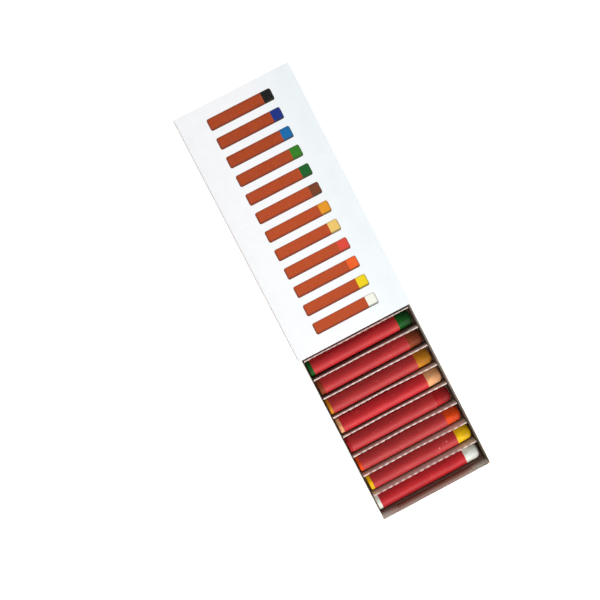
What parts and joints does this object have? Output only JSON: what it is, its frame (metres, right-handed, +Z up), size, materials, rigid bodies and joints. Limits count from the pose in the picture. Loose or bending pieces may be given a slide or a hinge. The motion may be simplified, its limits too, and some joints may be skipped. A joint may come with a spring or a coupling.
{
  "type": "pastel drawer box",
  "caption": "Flat folded card box with a printed slip-case sleeve and a drawer tray whose pleated divider holds paper-wrapped oil pastels side by side.",
  "frame": {"origin": "centre of the sleeve's underside, on the surface that the box lies on", "axes": "+X is the way the drawer is drawn out, +Y is the side of the pastels' long bare tips, +Z is up"},
  "size_m": [0.2754, 0.0776, 0.015],
  "materials": {
    "white_board": "satin",
    "tray_board": "matte",
    "divider_board": "matte",
    "red_paper": "matte",
    "wax_black": "satin",
    "wax_dark_blue": "satin",
    "wax_light_blue": "satin",
    "wax_light_green": "satin",
    "wax_dark_green": "satin",
    "wax_brown": "satin",
    "wax_ochre": "satin",
    "wax_peach": "satin",
    "wax_red": "satin",
    "wax_orange": "satin",
    "wax_yellow": "satin",
    "wax_white": "satin"
  },
  "bodies": {
    "sleeve_body": {"sleeve": "white_board"},
    "drawer_body": {"tray": "tray_board", "divider_insert": "divider_board", "pastel_black": "wax_black", "wrapper_black": "red_paper", "pastel_dark_blue": "wax_dark_blue", "wrapper_dark_blue": "red_paper", "pastel_light_blue": "wax_light_blue", "wrapper_light_blue": "red_paper", "pastel_light_green": "wax_light_green", "wrapper_light_green": "red_paper"},
    "dark_green_pastel_body": {"pastel_dark_green": "wax_dark_green", "wrapper_dark_green": "red_paper"},
    "brown_pastel_body": {"pastel_brown": "wax_brown", "wrapper_brown": "red_paper"},
    "ochre_pastel_body": {"pastel_ochre": "wax_ochre", "wrapper_ochre": "red_paper"},
    "peach_pastel_body": {"pastel_peach": "wax_peach", "wrapper_peach": "red_paper"},
    "red_pastel_body": {"pastel_red": "wax_red", "wrapper_red": "red_paper"},
    "orange_pastel_body": {"pastel_orange": "wax_orange", "wrapper_orange": "red_paper"},
    "yellow_pastel_body": {"pastel_yellow": "wax_yellow", "wrapper_yellow": "red_paper"},
    "white_pastel_body": {"pastel_white": "wax_white", "wrapper_white": "red_paper"}
  },
  "joints": [
    {"name": "drawer_slide", "type": "slide", "parent": "sleeve_body", "child": "drawer_body", "axis": [1, 0, 0], "range_m": [-0.1094, 0.06]},
    {"name": "dark_green_pastel_lift", "type": "slide", "parent": "drawer_body", "child": "dark_green_pastel_body", "axis": [0, 0, 1], "range_m": [0, 0.03]},
    {"name": "brown_pastel_lift", "type": "slide", "parent": "drawer_body", "child": "brown_pastel_body", "axis": [0, 0, 1], "range_m": [0, 0.03]},
    {"name": "ochre_pastel_lift", "type": "slide", "parent": "drawer_body", "child": "ochre_pastel_body", "axis": [0, 0, 1], "range_m": [0, 0.03]},
    {"name": "peach_pastel_lift", "type": "slide", "parent": "drawer_body", "child": "peach_pastel_body", "axis": [0, 0, 1], "range_m": [0, 0.03]},
    {"name": "red_pastel_lift", "type": "slide", "parent": "drawer_body", "child": "red_pastel_body", "axis": [0, 0, 1], "range_m": [0, 0.03]},
    {"name": "orange_pastel_lift", "type": "slide", "parent": "drawer_body", "child": "orange_pastel_body", "axis": [0, 0, 1], "range_m": [0, 0.03]},
    {"name": "yellow_pastel_lift", "type": "slide", "parent": "drawer_body", "child": "yellow_pastel_body", "axis": [0, 0, 1], "range_m": [0, 0.03]},
    {"name": "white_pastel_lift", "type": "slide", "parent": "drawer_body", "child": "white_pastel_body", "axis": [0, 0, 1], "range_m": [0, 0.03]}
  ]
}
